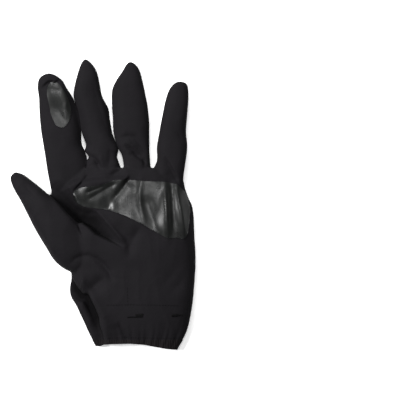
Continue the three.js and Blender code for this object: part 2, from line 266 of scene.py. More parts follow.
# %% [markdown]
# ## Folds
# Cloth that was folded for a shop lies in ridges and valleys. Each one is a line on the plan with a height
# and a width on either side. A steep side and a gentle side make a fold look like cloth that laps over. The
# same function serves the tubes and the film, so that the film rides on the cloth's folds.

# %% Broad folds
# Columns: x and y at the start, x and y at the end, rise of the line, width on its left and on its right.
FOLDS = [
    (-27, -76, -4, -118, -3, 4, 12),
    (-31, -58, -19, -80, 2, 5, 8),
    (60, 14, 58, -28, 1.6, 9, 5),
    (64, 20, 66, -28, -2, 4, 4),
    (69, 18, 77, -29, 1.7, 7, 4),
    (40, 8, 50, -24, -1.2, 5, 7),
    (4, -9, 50, -25, 1.2, 10, 7),
    (28, 20, 10, -4, 1.2, 9, 9),
]
FOLD_START = (-0.08, 0.25)  # parts of the length over which a fold rises and falls
FOLD_END = (0.7, 1.12)


def smoothstep(x, low, high):
    t = np.clip((x - low) / (high - low), 0, 1)
    return t * t * (3 - 2 * t)


def fold_rise(x, y):
    rise = np.zeros_like(x)
    for x0, y0, x1, y1, height, wide_left, wide_right in FOLDS:
        length = math.hypot(x1 - x0, y1 - y0)
        ax, ay = (x1 - x0) / length, (y1 - y0) / length
        along = ((x - x0) * ax + (y - y0) * ay) / length
        aside = (y - y0) * ax - (x - x0) * ay
        wide = np.where(aside > 0, wide_left, wide_right)
        fade = smoothstep(along, *FOLD_START) * (1 - smoothstep(along, *FOLD_END))
        rise += height * fade * np.exp(-((aside / wide) ** 2))
    return rise


print("folds:", len(FOLDS))

# %% [markdown]
# ## Laps, dives and creases
# Where one layer of cloth lies over the next, the edge shows as a sharp dark line that no broad fold gives.
# It could be sculpted, but a table of lines is measured in a photograph and put right by a millimetre. Each
# line has points with a drop or a rise, and every kind of line has a profile of its own across it.

# %% Laps
# The cloth drops on one side of the line and comes back up over a reach. Columns: side of the low cloth
# (1 left, -1 right), reach, how flat the low part is, and points (x, y, drop).
LAPS = [
    (1, 6, 1.4, [(-27.5, -15.5, 0), (-25, -18.8, 4), (-22.4, -25, 3), (-19, -32, 0)]),
    (-1, 7.5, 2.6, [
        (-33, -66, 0), (-28.5, -71.5, 6), (-24.3, -78.6, 12), (-19.3, -84.7, 13), (-14.2, -84.4, 14),
        (-11.6, -89.8, 14), (-7.4, -98.3, 14), (-4, -106.7, 12), (-3.1, -114.3, 9), (-0.6, -121.2, 7),
        (1.2, -129.6, 5), (2.2, -140, 3)]),
    (-1, 6, 1.4, [
        (-60, 109, 0), (-56, 113.6, 2.4), (-52.6, 116.4, 3.2), (-48.9, 117.7, 3.2), (-46.1, 116.4, 3),
        (-42.8, 118, 2.4), (-39, 118, 0)]),
    (-1, 5, 1.4, [(-30, 10, 0), (-27.3, 14.5, 2.2), (-22, 20, 3.6), (-17.5, 25.3, 2.6), (-15, 28.5, 0)]),
    (-1, 7, 1.4, [(15.5, -110.5, 0), (17.4, -115.5, 2.2), (20.5, -121, 3.4), (24, -127, 3), (25, -131, 1)]),
    (1, 6, 1.4, [
        (27.7, 56.5, 1), (31.6, 51.7, 2.2), (34.8, 47, 2.6), (37.1, 42.3, 2.2), (38, 37.5, 1.6),
        (38.4, 33, 0)]),
    (-1, 7, 1.4, [(59.5, 46, 0), (63, 39.2, 2.6), (67, 32, 3.6), (70, 25, 3), (72, 20, 0)]),
]
LAP_EDGE = 0.6  # half the width of the drop, in millimetres
LAP_ROUNDING, LAP_ROUND_WIDE = 0.12, 1.6  # part of the drop that rounds the upper layer's edge, and how wide

# %% Dives and facets
# A dive is cloth that falls from a ridge and goes under the layer beyond. Columns: points (x, y, bend) of
# the ridge, where a bend under 1 is a cliff, and points (x, y, drop) of the layer's edge.
DIVES = [
    ([(-62, 25, 1.4), (-50, 25, 1.3), (-40, 22.5, 1.1), (-33, 17.5, 0.9), (-28, 9, 0.7), (-24.5, 0.5, 0.5),
      (-18.5, -3.2, 0.45), (-10.5, -5.4, 0.45), (-5, -8, 0.45), (3.3, -17.8, 0.5), (10, -25, 0.6),
      (16, -31.5, 0.8), (21, -36, 1)],
     [(-56, 12.5, 0), (-52, 9.5, 7), (-44.5, 2.5, 12), (-37.5, -5.3, 15), (-30.5, -12.3, 16.5),
      (-25.4, -17.3, 16.5), (-19.5, -18, 15), (-13.5, -22, 14), (-7.6, -28, 12), (4.2, -33.6, 9),
      (12, -37.5, 5), (20, -42, 0)]),
]
DIVE_ROUNDING, DIVE_ROUND_WIDE = 0.08, 2  # as for a lap

# A facet is a patch of the palm that is tilted as a whole. Columns: outline (x, y), softness of its edge,
# pivot x and y, slope in x and in y, and lift.
FACETS = [
    ([(-40, 12), (-28, 22), (23, 26), (8.8, 4.5), (7, -6), (-14, -10), (-32, -4)],
     2.6, -12, 6, 0.0, 0.23, 0.6),
    ([(34, 30), (57, 30), (53, -38), (32, -30)], 8, 44, 3, 0.05, 0.04, 0.0),
]

# %% Creases
# A crease goes down and a ridge goes up. Columns: width on the left and on the right, and points
# (x, y, rise).
CREASES = [
    (2.4, 2.4, [(-7, -7.3, 0), (4.3, -17.8, 1.4), (10.5, -25.4, 2), (16, -31, 1.6), (21, -36, 0)]),
    (6, 4, [(9.8, -17.2, 0), (16, -25, -1.6), (21.9, -31.2, -2.2), (24.5, -40, -2.4), (25, -53, 0)]),
    (3.5, 5, [(36.8, -19, 0), (33, -25.5, -1.4), (28.5, -33, -1.8), (26, -41, -1.4), (25, -52, 0)]),
    (2.5, 3.5, [
        (-31, -57, 0), (-26.6, -51.4, -1.4), (-20.5, -49, -1.6), (-13.3, -48.4, -1.6), (-6, -52, -2.2),
        (0.7, -57.4, -2.8), (5.5, -63.5, -2.8), (7.9, -70, -2), (9, -76, 0)]),
    (1.6, 1.6, [(7, -70.5, 0), (13, -70.8, -0.3), (22.3, -71, -0.2), (27, -71, 0)]),
    (1.6, 1.4, [(-30, -61.5, 0), (-26, -64.6, -2.4), (-22, -67.5, 0)]),
    (4, 3, [(-20, -63, 0), (-19.6, -72, 2.2), (-19.5, -79, 1.8), (-19, -84, 0)]),
    (6, 6, [(2, -66, 0), (-3, -73, -3.4), (-9, -78.5, -4), (-14, -84, 0)]),
    (3.5, 7, [(-10, 120, 0), (-8.5, 108, -1.4), (-4.2, 92, -1.8), (0.5, 76, -1.4), (4, 66, 0)]),
    (2, 1.6, [(24, 47, 0), (29.3, 47.8, -2.6), (33, 45, -3.2), (38, 41, -2.4), (41, 38, 0)]),
    (2.2, 1.8, [(20, 57, 0), (24.6, 53.5, -2.8), (28.5, 51, -3.6), (32.5, 47.5, -2.8), (37, 44, 0)]),
    (3, 3, [
        (13, 58, 0), (17, 62.5, -1.4), (23, 64.5, -1.8), (29.5, 63.5, -2), (34, 58, -2), (38, 51, -1.6),
        (41, 44, 0)]),
    (2, 2, [(-11, 46, 0), (-8, 42.5, -3), (-5, 38.5, -4), (-3, 35, -2), (-1, 32, 0)]),
    (2, 2, [(-14, 41, 0), (-11, 38.5, -1.2), (-7.5, 37, -1), (-5, 34, 0)]),
    (3, 3, [(5, 58, 0), (6.5, 48, -1.2), (6, 41, -1.4), (3, 33, 0)]),
    (1.8, 2, [(-2.2, 50, 0), (-2, 44, 0.8), (-1.6, 38, 0.9), (-1, 34, 0)]),
    (3, 3.5, [(20, 35, 0), (15, 31.5, -3), (9, 27.5, -2.6), (2, 25, 0)]),
    (2.2, 2.2, [(69.5, 70, 0), (73, 64, -0.9), (76, 58, 0)]),
    (1.5, 1.5, [(-79, 24, 0), (-72, 15, -0.8), (-66, 9, -0.8), (-60, 4, 0)]),
    (1.5, 1.5, [(-80, 10, 0), (-74, 9, -0.7), (-67, 4, -0.6), (-62, -1, 0)]),
    (7, 7, [(74, -52, 0), (64, -68, -1.6), (52, -82, 0)]),
    (5, 5, [(80, -60, 0), (72, -76, -1.4), (60, -88, 0)]),
    (6, 5, [(-12, -80, 0), (-8, -92, 2.6), (0, -106, 3), (2.5, -116, 2.4), (6, -130, 1)]),
    (4, 4, [(-31, -76, 0), (-26, -81, -4), (-20, -87, -5), (-14, -93, 0)]),
    # the right flanks that lean away from the light
    (11, 5, [(-4, 124, 0), (0.5, 108, -3), (4, 90, -3.4), (8, 72, -3), (12, 56, 0)]),
    (12, 5, [(-33, 110, 0), (-28, 96, -2.8), (-24, 80, -3.4), (-21, 62, -3.4), (-18, 48, -2), (-15, 38, 0)]),
    (13, 6, [(76, 22, 0), (84, -4, -2), (88, -40, -2.4), (88, -75, -2.4), (84, -104, -2), (77, -126, 0)]),
    # creases that the films share with the cloth under them
    (1.2, 1.4, [(3, 18.5, 0), (0, 17.4, -0.8), (-6, 14.8, -1.2), (-13.8, 11.6, -0.8), (-17, 10, 0)]),
    (3, 3, [(14, 21.5, 0), (8, 17.5, -1.2), (0, 13.1, -1.5), (-9.4, 7.3, -1.2), (-15, 3, 0)]),
    (3.5, 3, [(58, 23, 0.6), (59.5, 10, 1.2), (60.5, -8, 1.5), (60.5, -24, 1.2), (60.5, -34, 0.8)]),
    (3, 2.2, [(68, 20, 0.6), (71, 8, 1.2), (74, -8, 1.4), (76, -22, 1), (76.5, -34, 0.6)]),
    (3, 3, [(36, 24, 0.8), (34.5, 10, 1.2), (35, 0, 1.2), (38, -12, 0.8), (40, -22, 0)]),
    (8, 10, [(-58, 96, 0), (-48, 92, -0.9), (-40, 89, -0.9), (-31, 86, -0.4)]),
    (1.4, 1.4, [(-41, 92, 0), (-38, 88.5, 0.6), (-36, 84, 0.5), (-34.5, 80, 0)]),
    (1.2, 1.2, [(-35, 97, 0), (-37, 92, 0.5), (-34, 87, 0.3), (-32, 84, 0)]),
]
CREASE_POWER = 1.6  # between a pointed crease at 1 and a round one at 2


# %% How far a point is from a line
def along_line(x, y, points):
    """Distance in plan to a line, the side (1 left, -1 right), and the third column where it is nearest."""
    best, side, value = np.full_like(x, np.inf), np.ones_like(x), np.zeros_like(x)
    for (x0, y0, v0), (x1, y1, v1) in zip(points, points[1:]):
        dx, dy = x1 - x0, y1 - y0
        t = np.clip(((x - x0) * dx + (y - y0) * dy) / (dx * dx + dy * dy), 0, 1)
        d = np.hypot(x - x0 - t * dx, y - y0 - t * dy)
        near = d < best
        best = np.where(near, d, best)
        side = np.where(near, np.sign((y - y0) * dx - (x - x0) * dy), side)
        value = np.where(near, v0 + (v1 - v0) * t, value)
    return best, side, value


def distance_to(line, x, y):
    return along_line(x, y, [(*q, 0) for q in line])[0]


def ring_of(outline):
    return [*outline, outline[0]]


def depth_inside(outline, x, y):
    """Distance in plan to a closed outline: above zero inside it, below zero outside."""
    inside = np.zeros(x.shape, bool)
    for (x0, y0), (x1, y1) in zip(outline, outline[1:] + outline[:1]):
        crosses = (y0 > y) != (y1 > y)
        inside ^= crosses & (x < x0 + (x1 - x0) * (y - y0) / ((y1 - y0) or 1e-9))
    return distance_to(ring_of(outline), x, y) * np.where(inside, 1, -1)


# %% What the lines do to the cloth
def lowering(x, y):
    """How far the laps and dives let the cloth down."""
    rise = np.zeros_like(x)
    for low_side, reach, flat, points in LAPS:
        d, side, drop = along_line(x, y, points)
        d = d * side * low_side
        back_up = np.exp(-((np.maximum(d, 0) / reach) ** flat))
        low = -drop * smoothstep(d, -LAP_EDGE, LAP_EDGE) * back_up
        rounded = -LAP_ROUNDING * drop * np.exp(-((np.minimum(d, 0) / LAP_ROUND_WIDE) ** 2))
        rise += np.where(d > 0, low, np.minimum(low, rounded))
    for ridge, edge in DIVES:
        from_ridge, below, bend = along_line(x, y, ridge)
        from_edge, above, drop = along_line(x, y, edge)
        inside = smoothstep(from_edge * above, -LAP_EDGE, LAP_EDGE) * (below < 0)
        part = from_ridge / np.maximum(from_ridge + from_edge * (above > 0), 1e-6)
        rise -= inside * drop * part**bend
        rounded = np.exp(-((from_edge / DIVE_ROUND_WIDE) ** 2))
        rise -= (1 - inside) * (below < 0) * DIVE_ROUNDING * drop * rounded
    return rise


def detail_rise(x, y):
    rise = lowering(x, y)
    for outline, soft, x0, y0, slope_x, slope_y, lift in FACETS:
        outside = -depth_inside(outline, x, y)
        rise += (1 - smoothstep(outside, -soft, soft)) * (lift + slope_x * (x - x0) + slope_y * (y - y0))
    for wide_left, wide_right, points in CREASES:
        d, side, depth = along_line(x, y, points)
        wide = np.where(side > 0, wide_left, wide_right)
        rise += depth * np.exp(-((d / wide) ** CREASE_POWER))
    return rise


print("laps:", len(LAPS), "dives:", len(DIVES), "facets:", len(FACETS), "creases:", len(CREASES))

# %% [markdown]
# ## Skins from sections
# A smooth line runs through the ends of the sections and round the tip. Between two sections the glove is a
# ring of points: over the top along an arch, and back under, where the cloth rolls down to the floor and lies
# flat. The six closed tubes are then melted into one skin by a voxel remesh, which is the quickest way to
# join organic shapes with clean crotches between the fingers, and a few rounds of smoothing take the voxel
# steps away. The fine folds go on in between, so the second remesh evens out what they stretched.

# %% Smooth lines and gathers
LEAST_LIFT = 2.6  # the palm side stays this far above the side seams, however deep a broad fold is
WIDEST_ROLL = 0.9  # part of half a narrow section that the roll may take up
ROLL_STEPS = np.array([0.04, 0.12, 0.25, 0.42, 0.65, 1.0])  # where the roll is sampled, as parts of it
TIP_STEPS = np.array([0.2, 0.4, 0.58, 0.73, 0.85, 0.93, 0.98])  # closer sections towards the tip
RINGS_PER_ROW = 6
GATHER_FROM, GATHER_REACH = -131, 26  # full at the hem, and gone this far above it
GATHER_RISE, GATHER_WAVE, GATHER_FADE = 0.9, 0.4, 1.5
BROAD_WAVES, MIDDLING_WAVES, FINE_WAVES = 6, 13, 21  # from seam to seam
MIDDLING_SHIFT = 1.1  # radians


def catmull_rom(points, t):
    """Points of a smooth line through the given ones; t counts the gaps between them."""
    points = np.vstack([2 * points[0] - points[1], points, 2 * points[-1] - points[-2]])
    k = np.clip(np.floor(t).astype(int), 0, len(points) - 4)
    f = (t - k)[:, None]
    p0, p1, p2, p3 = (points[k + i] for i in range(4))
    return 0.5 * (
        2 * p1 + (p2 - p0) * f + (2 * p0 - 5 * p1 + 4 * p2 - p3) * f**2 + (3 * p1 - p0 - 3 * p2 + p3) * f**3
    )


def gather_rise(u, y):
    """Puckers drawn in by the elastic, from three waves; u is -1 at the left seam and 1 at the right."""
    near = 1 - smoothstep(y, GATHER_FROM, GATHER_FROM + GATHER_REACH)
    broad = GATHER_WAVE * np.cos(math.pi * BROAD_WAVES * u)
    middling = GATHER_WAVE * np.cos(math.pi * MIDDLING_WAVES * u + MIDDLING_SHIFT)
    fine = GATHER_WAVE * np.sin(math.pi * FINE_WAVES * u)
    return GATHER_RISE * near**GATHER_FADE * (broad + middling + fine)


# %% Tubes
def section_lines(rows):
    tip = np.array([*rows[-1], RIM]) if len(rows[-1]) == 2 else None
    full = np.array(rows[:-1] if tip is not None else rows, float)
    left, right = full[:, [0, 1, 4]], full[:, [2, 3, 4]]
    last = len(full) - 1
    if tip is None:
        return left, right, last, None
    return np.vstack([left, tip, right[-1]]), np.vstack([right, tip, left[-1]]), last, tip


def tube(rows, segments=40, fullness=2.7, cut=None):
    """Points and faces of a closed tube through a table of sections, in millimetres.

    A fullness of 2 makes an elliptic arch and more makes a flatter one. With cut, the tube ends at that row.
    """
    left_line, right_line, last, tip = section_lines(rows)
    if cut is not None:
        last, tip = cut, None
    stations = np.linspace(0, last, last * RINGS_PER_ROW + 1)
    if tip is not None:
        stations = np.append(stations, last + TIP_STEPS)
    left, right = catmull_rom(left_line, stations), catmull_rom(right_line, stations)
    past = np.clip(stations - last, 0, 1)
    body = np.where(past > 0, left_line[last, 2], (left[:, 2] + right[:, 2]) / 2)
    crown = RIM + (body - RIM) * np.sqrt(1 - past**2)
    half = np.linalg.norm(right[:, :2] - left[:, :2], axis=1) / 2
    roll = np.minimum(ROLL, WIDEST_ROLL * half)

    even = np.linspace(-1, 1, segments + 1)
    over = (np.sin(math.pi / 2 * even) + even) / 2
    rings = []
    for k in range(len(stations)):
        under = ROLL_STEPS * roll[k] / half[k]
        u = np.concatenate([over, 1 - under, (under - 1)[::-1]])
        plan = left[k, :2] + np.outer((u + 1) / 2, right[k, :2] - left[k, :2])
        arch = np.sqrt(1 - np.abs(over) ** fullness)
        x, y = plan[: segments + 1].T
        lift = np.maximum(crown[k] - RIM + fold_rise(x, y) + gather_rise(over, y), LEAST_LIFT)
        side = RIM - RIM * np.sqrt(1 - (1 - ROLL_STEPS) ** 2)
        z = np.concatenate([RIM + lift * arch, side, side[::-1]])
        rings.append(np.column_stack([plan, z]))
    return loft(rings, tip)


def loft(rings, tip=None):
    """Points and faces of a tube through rings of points, with a fan of triangles at either end."""
    n = len(rings[0])
    points = list(np.vstack(rings))
    faces = []
    for r in range(len(rings) - 1):
        for k in range(n):
            a, b = r * n + k, r * n + (k + 1) % n
            faces.append((a, b, b + n, a + n))
    for r, point, flip in ((0, rings[0].mean(0), True), (len(rings) - 1, tip, False)):
        centre = rings[r].mean(0) if point is None else point
        points.append(centre)
        for k in range(n):
            a, b = r * n + k, r * n + (k + 1) % n
            faces.append((len(points) - 1, b, a) if flip else (len(points) - 1, a, b))
    return np.array(points), faces


print("rings from section to section:", RINGS_PER_ROW)

# %% Objects and their points
def baked(obj):
    """Applies an object's modifiers by taking its evaluated mesh."""
    bpy.context.view_layer.update()
    evaluated = obj.evaluated_get(bpy.context.evaluated_depsgraph_get())
    mesh = bpy.data.meshes.new_from_object(evaluated)
    obj.modifiers.clear()
    old, obj.data = obj.data, mesh
    bpy.data.meshes.remove(old)
    return obj


def discard(obj):
    bpy.data.objects.remove(obj)


def vectors_of(collection, attribute):
    flat = np.empty(len(collection) * 3, np.float32)
    collection.foreach_get(attribute, flat)
    return flat.reshape(-1, 3).astype(float)


def points_of(mesh):
    return vectors_of(mesh.vertices, "co")


def normals_of(mesh):
    return vectors_of(mesh.vertex_normals, "vector")


def set_points(mesh, co):
    mesh.vertices.foreach_set("co", co.astype(np.float32).ravel())
    mesh.update()


# %% One skin from several tubes
VOXEL = 0.9 * MM
DEEPEST = 5.8  # no fold goes lower than this above the floor
ROUNDS_BEFORE, ROUNDS_AFTER = 6, 3  # of smoothing, before and after the fine folds
PULL_IN, LET_OUT = 0.5, -0.52
BELOW_RIM, ABOVE_RIM = 0.5, 2  # fine folds begin over this height about the side seam
UPWARD = (0.0, 0.3)  # and where the cloth faces up


def smoothed(mesh, rounds):
    """Evens out a mesh without shrinking it: each round pulls points in and lets them out again."""
    co = points_of(mesh)
    edges = np.empty(len(mesh.edges) * 2, np.int32)
    mesh.edges.foreach_get("vertices", edges)
    a, b = edges.reshape(-1, 2).T
    count = np.bincount(np.concatenate([a, b]), minlength=len(co))[:, None]
    for _ in range(rounds):
        for pull in (PULL_IN, LET_OUT):
            total = np.zeros_like(co)
            np.add.at(total, a, co[b])
            np.add.at(total, b, co[a])
            co = co + pull * (total / count - co)
    set_points(mesh, co)


def melted(obj, rounds):
    melt = obj.modifiers.new("melt", "REMESH")
    melt.mode = "VOXEL"
    melt.voxel_size = VOXEL
    baked(obj)
    smoothed(obj.data, rounds)


def skin_of(name, tubes):
    points, faces, start = [], [], 0
    for tube_points, tube_faces in tubes:
        points.append(tube_points)
        faces += [tuple(v + start for v in f) for f in tube_faces]
        start += len(tube_points)
    obj = mesh_object(name, np.vstack(points), faces)
    melted(obj, ROUNDS_BEFORE)
    co = points_of(obj.data) / MM
    faces_up = smoothstep(normals_of(obj.data)[:, 2], *UPWARD)
    up = faces_up * smoothstep(co[:, 2], RIM - BELOW_RIM, RIM + ABOVE_RIM)
    lift = co[:, 2] - RIM
    lowered = np.maximum(lift + detail_rise(co[:, 0], co[:, 1]) * up, np.minimum(lift, DEEPEST - RIM))
    co[:, 2] = RIM + lowered
    set_points(obj.data, co * MM)
    melted(obj, ROUNDS_AFTER)
    print(name, len(obj.data.vertices), "points")
    return obj


# the middle finger touches its neighbours, so it is melted with the hand alone
hand_tube = tube(HAND, segments=90, fullness=3.2)
thumb_tube = tube(THUMB, segments=50)
short_middle = tube(MIDDLE, cut=3)
skin = skin_of("skin", [hand_tube, thumb_tube, tube(INDEX), short_middle, tube(RING), tube(LITTLE)])
middle_skin = skin_of("middle_skin", [hand_tube, tube(MIDDLE)])

# %% [markdown]
# ## Seams in plan
# The pattern pieces meet along seams at the roots of the thumb and the fingers. In plan each piece is a
# region: its root seam, and two parting lines that run out between the fingers. An upright cutter over the
# region takes the piece out of the skin, as a tailor's knife would, and the edge of the cut is exact.

# %% Seam lines and regions
THUMB_ROOT = [
    (-33, -59), (-26.6, -51.8), (-20.5, -48.5), (-17.5, -40), (-19, -31), (-23, -22), (-30, -12), (-40, -2),
    (-49.4, 8.2),
]
INDEX_ROOT = [(-49.4, 8.2), (-39, 9), (-28.3, 15.5), (-16.5, 26.5), (-17.2, 34.6)]
MIDDLE_ROOT = [(-17.2, 34.6), (17.4, 34.6)]
RING_ROOT = [(17.4, 34.6), (46.4, 34.6)]
LITTLE_ROOT = [(46.4, 34.6), (84, 12.5)]
THUMB_OUTSIDE = [(-33, -59), (-50, -84), (-100, -84)]
THUMB_FROM_INDEX = [(-49.4, 8.2), (-53.4, 14.6), (-62, 26), (-100, 70)]
INDEX_FROM_MIDDLE = [
    (-17.2, 34.6), (-15.7, 44), (-19.4, 56), (-21.0, 69.5), (-23.2, 84.2), (-24.4, 90), (-29, 101.2),
    (-30, 150),
]
MIDDLE_FROM_RING = [(17.4, 34.6), (17.6, 41), (13.7, 53.2), (8.6, 68), (6.6, 88), (2, 102), (2, 150)]
RING_FROM_LITTLE = [(46.4, 34.6), (47.2, 50), (49.4, 72), (52, 100), (52, 150)]
LITTLE_OUTSIDE = [(84, 12.5), (100, 30), (100, 150)]


def region(root, left_line, right_line):
    return root + right_line[1:] + left_line[::-1][:-1]


REGIONS = {
    "thumb": region(THUMB_ROOT, THUMB_OUTSIDE, THUMB_FROM_INDEX),
    "index_finger": region(INDEX_ROOT, THUMB_FROM_INDEX + [(-100, 150)], INDEX_FROM_MIDDLE),
    "middle_finger": region(MIDDLE_ROOT, INDEX_FROM_MIDDLE, MIDDLE_FROM_RING),
    "ring_finger": region(RING_ROOT, MIDDLE_FROM_RING, RING_FROM_LITTLE),
    "little_finger": region(LITTLE_ROOT, RING_FROM_LITTLE, LITTLE_OUTSIDE),
}
SEAMS = [THUMB_ROOT, INDEX_ROOT, MIDDLE_ROOT, RING_ROOT, LITTLE_ROOT]
print("regions:", list(REGIONS))

# %% [markdown]
# ## Relief on the skins
# Sewing pulls the cloth in along a seam, so each seam is a shallow groove, and the side seam runs round the
# glove at its rim. The cloth between is never quite smooth either. Low, stretched noise stands for the soft
# creases that are left in it. A film is stiffer than cloth and holds most of them flat, so the outlines of
# the films are needed first.

# %% Film outlines
PALM_FILM = [
    (-28, 10.7), (-22.3, 15), (-12.8, 16.9), (-3.3, 17.8), (6.2, 21.1), (12.8, 22.8), (25.2, 22.8),
    (39.4, 21.9), (58.4, 21.1), (68.9, 18.8), (72.7, 16.4), (78.4, 8.8), (82, -3.6), (81.6, -13.1),
    (80, -26.4), (76.5, -32.5), (68.9, -31.6), (61.3, -32.1), (53.7, -28.3), (45.1, -23.5), (33.7, -16.9),
    (20.4, -10.7), (6.2, -5.9), (-6.2, -4), (-18.5, -2.1), (-26.1, 3.1),
]
FINGERTIP_FILM = [
    (-52, 113), (-48, 116.6), (-43, 114.8), (-37.2, 107.6), (-33, 98.5), (-30.9, 90), (-31.6, 81.9),
    (-34.2, 76.2), (-38, 72.9), (-41.8, 73.4), (-45.6, 76.2), (-49.3, 84.8), (-51.8, 96.2), (-53.4, 106),
]


def under_film(x, y, soft=3.0):
    """1 under a film, 0 away from it."""
    cover = np.zeros_like(x)
    for outline in (PALM_FILM, FINGERTIP_FILM):
        cover = np.maximum(cover, smoothstep(depth_inside(outline, x, y), -soft, soft))
    return cover


print("film outlines:", len(PALM_FILM), "and", len(FINGERTIP_FILM), "points")

# %% Grooves and soft creases
GROOVE = 0.4  # millimetres
ROOT_SHARE = 0.3  # the root seams are taped flat
ROOT_WIDE, SIDE_WIDE = 1.5, 1.1
FLAT_FROM, FLAT_FAR = 0.8, 4  # cloth whose normal is this upright lies flat and is kept off the side seam
CREASE = 0.35
FILM_CALM = 0.8  # share of the soft creases that a film holds flat
CREASE_SCALE, CREASE_STRETCH = 0.055, 0.55  # creases per millimetre, and fewer along the hand
CREASE_CLIMB = 0.03  # per millimetre of height
WARP_SCALE, WARP_LEVEL = 0.02, 3.7
RIDGE = 2.2  # how sharp the ridges are
FACING = (-0.2, 0.6)  # soft creases begin as the normal turns up through these values
OFF_FLOOR = (0.2, 2.0)  # grooves begin over these heights, because cloth on the floor lies flat


def soft_creases(co):
    """A ridged noise whose ridges run on for several times their width."""
    out = np.empty(len(co))
    for k, (x, y, z) in enumerate(co):
        warp = noise.noise(Vector((x * WARP_SCALE, y * WARP_SCALE, WARP_LEVEL)))
        p = Vector((x * CREASE_SCALE + warp, y * CREASE_SCALE * CREASE_STRETCH - warp, z * CREASE_CLIMB))
        out[k] = 1 - RIDGE * abs(noise.noise(p))
    return out


def relief(mesh):
    co = points_of(mesh) / MM
    x, y, z = co.T
    normal = normals_of(mesh)
    seam = np.min([distance_to(line, x, y) for line in SEAMS], axis=0)
    side = np.abs(z - RIM) * (1 + FLAT_FAR * (np.abs(normal[:, 2]) > FLAT_FROM))
    groove = GROOVE * (ROOT_SHARE * np.exp(-((seam / ROOT_WIDE) ** 2)) + np.exp(-((side / SIDE_WIDE) ** 2)))
    top = smoothstep(normal[:, 2], *FACING)
    creases = CREASE * (1 - FILM_CALM * under_film(x, y)) * soft_creases(co)
    push = creases * top - groove * smoothstep(z, *OFF_FLOOR)
    co += normal * push[:, None]
    set_points(mesh, co * MM)


relief(skin.data)
relief(middle_skin.data)
print("relief on", len(skin.data.vertices), "points")

# %% [markdown]
# ## Pieces from the skins
# Real cloth is cut first and sewn afterwards. Here the glove's whole shape exists first, so the pieces are
# cut out of it, and neighbours share one edge exactly. The cutter closes each piece with a lid. The lids are
# deleted again, and Solidify gives the open skin its thickness, so the wall's edge shows as on real cloth.

# %% Cutter
CLOTH = 0.9 * MM  # coated cloth with its seam tape
MERGE = 0.05 * MM  # the cutter leaves slivers, which would turn into spikes
LOW, HIGH = -5, 60  # an upright cutter reaches from below the floor to above the glove
ON_CUT = 0.004  # a lid's faces are this close to the cutter, in millimetres
SHARP = math.radians(55)  # an edge that turns more than this is shaded as a sharp one


def prism(outline, low, high):
    n = len(outline)
    points = [(x, y, z) for z in (low, high) for x, y in outline]
    faces = [(k, (k + 1) % n, n + (k + 1) % n, n + k) for k in range(n)]
    return mesh_object("knife", points, faces + [tuple(range(n))[::-1], tuple(range(n, 2 * n))])


def cut(obj, operation, outline, low=LOW, high=HIGH):
    """Keeps what is inside an upright cutter (INTERSECT) or outside it (DIFFERENCE)."""
    tool = obj.modifiers.new("cut", "BOOLEAN")
    tool.operation = operation
    tool.solver = "MANIFOLD"
    knife = tool.object = prism(outline, low, high)
    baked(obj)
    discard(knife)
    return obj


def copy_of(obj, name):
    copy = bpy.data.objects.new(name, obj.data.copy())
    bpy.context.scene.collection.objects.link(copy)
    return copy


def open_up(obj, lines, levels=()):
    """Deletes the faces that a cutter left along some lines, so that only the cut skin stays."""
    bm = bmesh.new()
    bm.from_mesh(obj.data)
    bm.normal_update()
    faces = list(bm.faces)
    middle = np.array([f.calc_center_median() for f in faces]) / MM
    normal = np.array([f.normal for f in faces])
    on_cut = np.zeros(len(faces), bool)
    for line in lines:
        on_cut |= (distance_to(line, middle[:, 0], middle[:, 1]) < ON_CUT) & (np.abs(normal[:, 2]) < 0.01)
    for level in levels:
        on_cut |= (np.abs(middle[:, 2] - level) < ON_CUT) & (np.abs(normal[:, 2]) > 0.99)
    bmesh.ops.delete(bm, geom=[f for f, hit in zip(faces, on_cut) if hit], context="FACES")
    bmesh.ops.remove_doubles(bm, verts=bm.verts, dist=MERGE)
    bm.to_mesh(obj.data)
    bm.free()
    return obj


def walled(obj, thickness=CLOTH):
    wall = obj.modifiers.new("wall", "SOLIDIFY")
    wall.thickness = thickness
    wall.offset = -1
    baked(obj)
    obj.data.shade_smooth()
    obj.data.set_sharp_from_angle(angle=SHARP)
    return obj


# %% Thumb and fingers
pieces = {}
for (name, outline), root in zip(REGIONS.items(), SEAMS):
    source = middle_skin if name == "middle_finger" else skin
    piece = cut(copy_of(source, name), "INTERSECT", outline)
    # fingers that press on each other keep a flat side, and only the root is open
    pieces[name] = walled(open_up(piece, [root] + ([THUMB_OUTSIDE] if name == "thumb" else [])))
    print(name, len(piece.data.polygons), "faces")

# %% Palm and back
FIELD = [(-150, -200), (150, -200), (150, 200), (-150, 200)]
HEM_TOP = -128.7
CUFF = [(-150, -200), (150, -200), (150, HEM_TOP), (-150, HEM_TOP)]

hand = copy_of(skin, "hand")
for outline in [*REGIONS.values(), CUFF]:
    cut(hand, "DIFFERENCE", outline)
for name, low, high in (("palm_panel", RIM, HIGH), ("back_panel", LOW, RIM)):
    piece = cut(copy_of(hand, name), "INTERSECT", FIELD, low, high)
    pieces[name] = walled(open_up(piece, [ring_of(o) for o in (*REGIONS.values(), CUFF)], [RIM]))
    print(name, len(piece.data.polygons), "faces")
discard(hand)

# %% Hem
MOUTH = [
    (-150, -134.6), (-9.5, -134.6), (-3, -134.9), (0.5, -133.4), (6, -132.7), (26, -132.3), (38, -133.2),
    (46, -134.7), (60, -137.3), (69, -138.2), (150, -138.4),
]
HEM_BAND = MOUTH + [(150, HEM_TOP), (-150, HEM_TOP)]
HEM_CLOTH = 1.4 * MM  # folded over the elastic
HEM_PROUD = 0.35  # millimetres
HEM_LEAST = 0.05 * MM  # it doesn't sink into the floor

